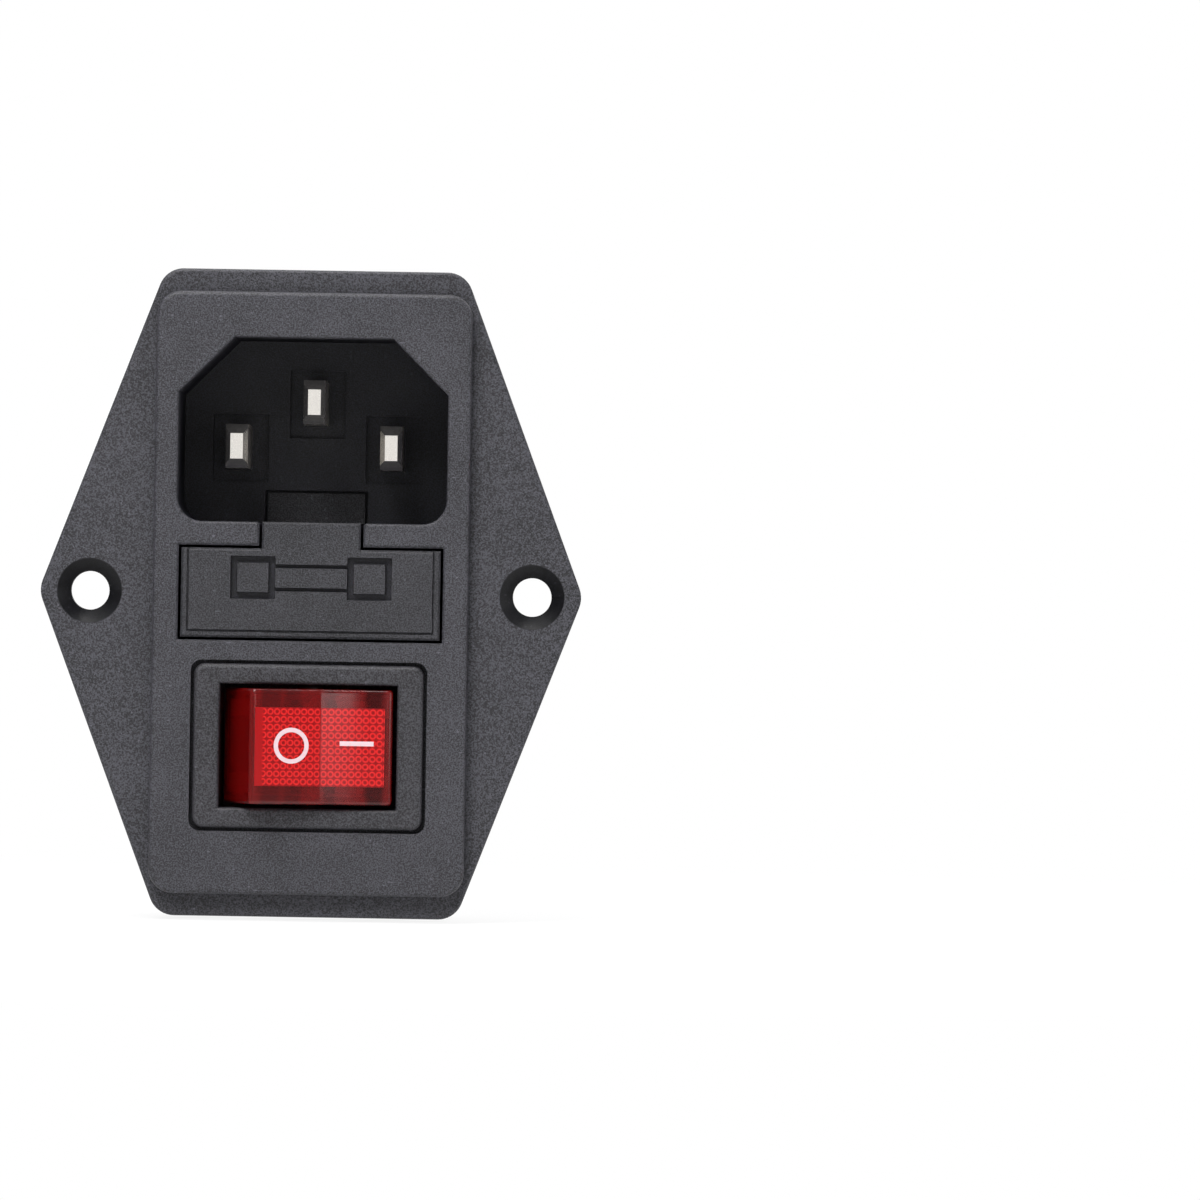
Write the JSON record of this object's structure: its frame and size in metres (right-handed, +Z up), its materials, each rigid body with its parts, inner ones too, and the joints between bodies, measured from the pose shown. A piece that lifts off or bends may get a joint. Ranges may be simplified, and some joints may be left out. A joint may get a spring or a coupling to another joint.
{
  "type": "power_entry_module",
  "caption": "Panel-mount power entry module with appliance inlet, drawer for a glass fuse and lit red rocker switch",
  "frame": {"origin": "midway between the two screw holes, on the back face of the flange", "axes": "+X to the right seen from the front, +Y from the front into the panel, +Z up towards the inlet"},
  "size_m": [0.0488, 0.0307, 0.0584],
  "materials": {
    "housing_black": "moulded thermoplastic with a fine grain",
    "switch_black": "moulded nylon, satin",
    "rocker_red": "see-through red polycarbonate with a patterned window",
    "pin_nickel": "nickel plated",
    "tinned_brass": "tin plated",
    "rivet_brass": "plated brass, staked",
    "cap_nickel": "nickel plated",
    "lever_copper": "copper alloy strip",
    "spring_steel": "drawn wire",
    "nylon_white": "natural nylon",
    "clear_glass": "clear",
    "sleeve_red": "soft sleeving",
    "resistor_tan": "lacquered"
  },
  "bodies": {
    "module": {"housing": "housing_black", "line_pin": "pin_nickel", "neutral_pin": "pin_nickel", "earth_pin": "pin_nickel", "neutral_terminal": "tinned_brass", "earth_terminal": "tinned_brass", "load_terminal": "tinned_brass", "link_strap": "tinned_brass", "line_fuse_clip": "tinned_brass", "line_clip_rivet": "rivet_brass", "load_fuse_clip": "tinned_brass", "load_clip_rivet": "rivet_brass", "switch_case": "switch_black", "upper_feed_terminal": "tinned_brass", "upper_contact_terminal": "tinned_brass", "lower_feed_terminal": "tinned_brass", "lower_contact_terminal": "tinned_brass", "neon_lamp": "clear_glass", "lead_sleeve_upper": "sleeve_red", "lamp_lead_upper": "tinned_brass", "lead_sleeve_lower": "sleeve_red", "resistor_lead": "tinned_brass", "lamp_lead_lower": "tinned_brass", "ballast_resistor": "resistor_tan"},
    "drawer": {"fuse_drawer": "housing_black", "fuse_tube": "clear_glass", "fuse_wire": "tinned_brass", "fuse_cap_left": "cap_nickel", "fuse_cap_right": "cap_nickel"},
    "rocker_body": {"rocker": "rocker_red", "upper_plunger": "nylon_white", "upper_spring": "spring_steel", "lower_plunger": "nylon_white", "lower_spring": "spring_steel"},
    "upper_lever_body": {"upper_lever": "lever_copper"},
    "lower_lever_body": {"lower_lever": "lever_copper"}
  },
  "joints": [
    {"name": "rocker_hinge", "type": "hinge", "parent": "module", "child": "rocker_body", "pos_m": [0, 0.0004, -0.0138], "axis": [0, 0, -1], "range_deg": [0, 22]},
    {"name": "upper_lever_hinge", "type": "hinge", "parent": "module", "child": "upper_lever_body", "pos_m": [0, 0.006, -0.0102], "axis": [0, 0, 1], "range_deg": [0, 14.01]},
    {"name": "lower_lever_hinge", "type": "hinge", "parent": "module", "child": "lower_lever_body", "pos_m": [0, 0.006, -0.0174], "axis": [0, 0, 1], "range_deg": [0, 14.01]},
    {"name": "drawer_slide", "type": "slide", "parent": "module", "child": "drawer", "axis": [0, -1, 0], "range_m": [0, 0.018]}
  ],
  "couplings": [
    {"joint": "upper_lever_hinge", "follows": "rocker_hinge", "ratio": 0.63636},
    {"joint": "lower_lever_hinge", "follows": "rocker_hinge", "ratio": 0.63636}
  ]
}
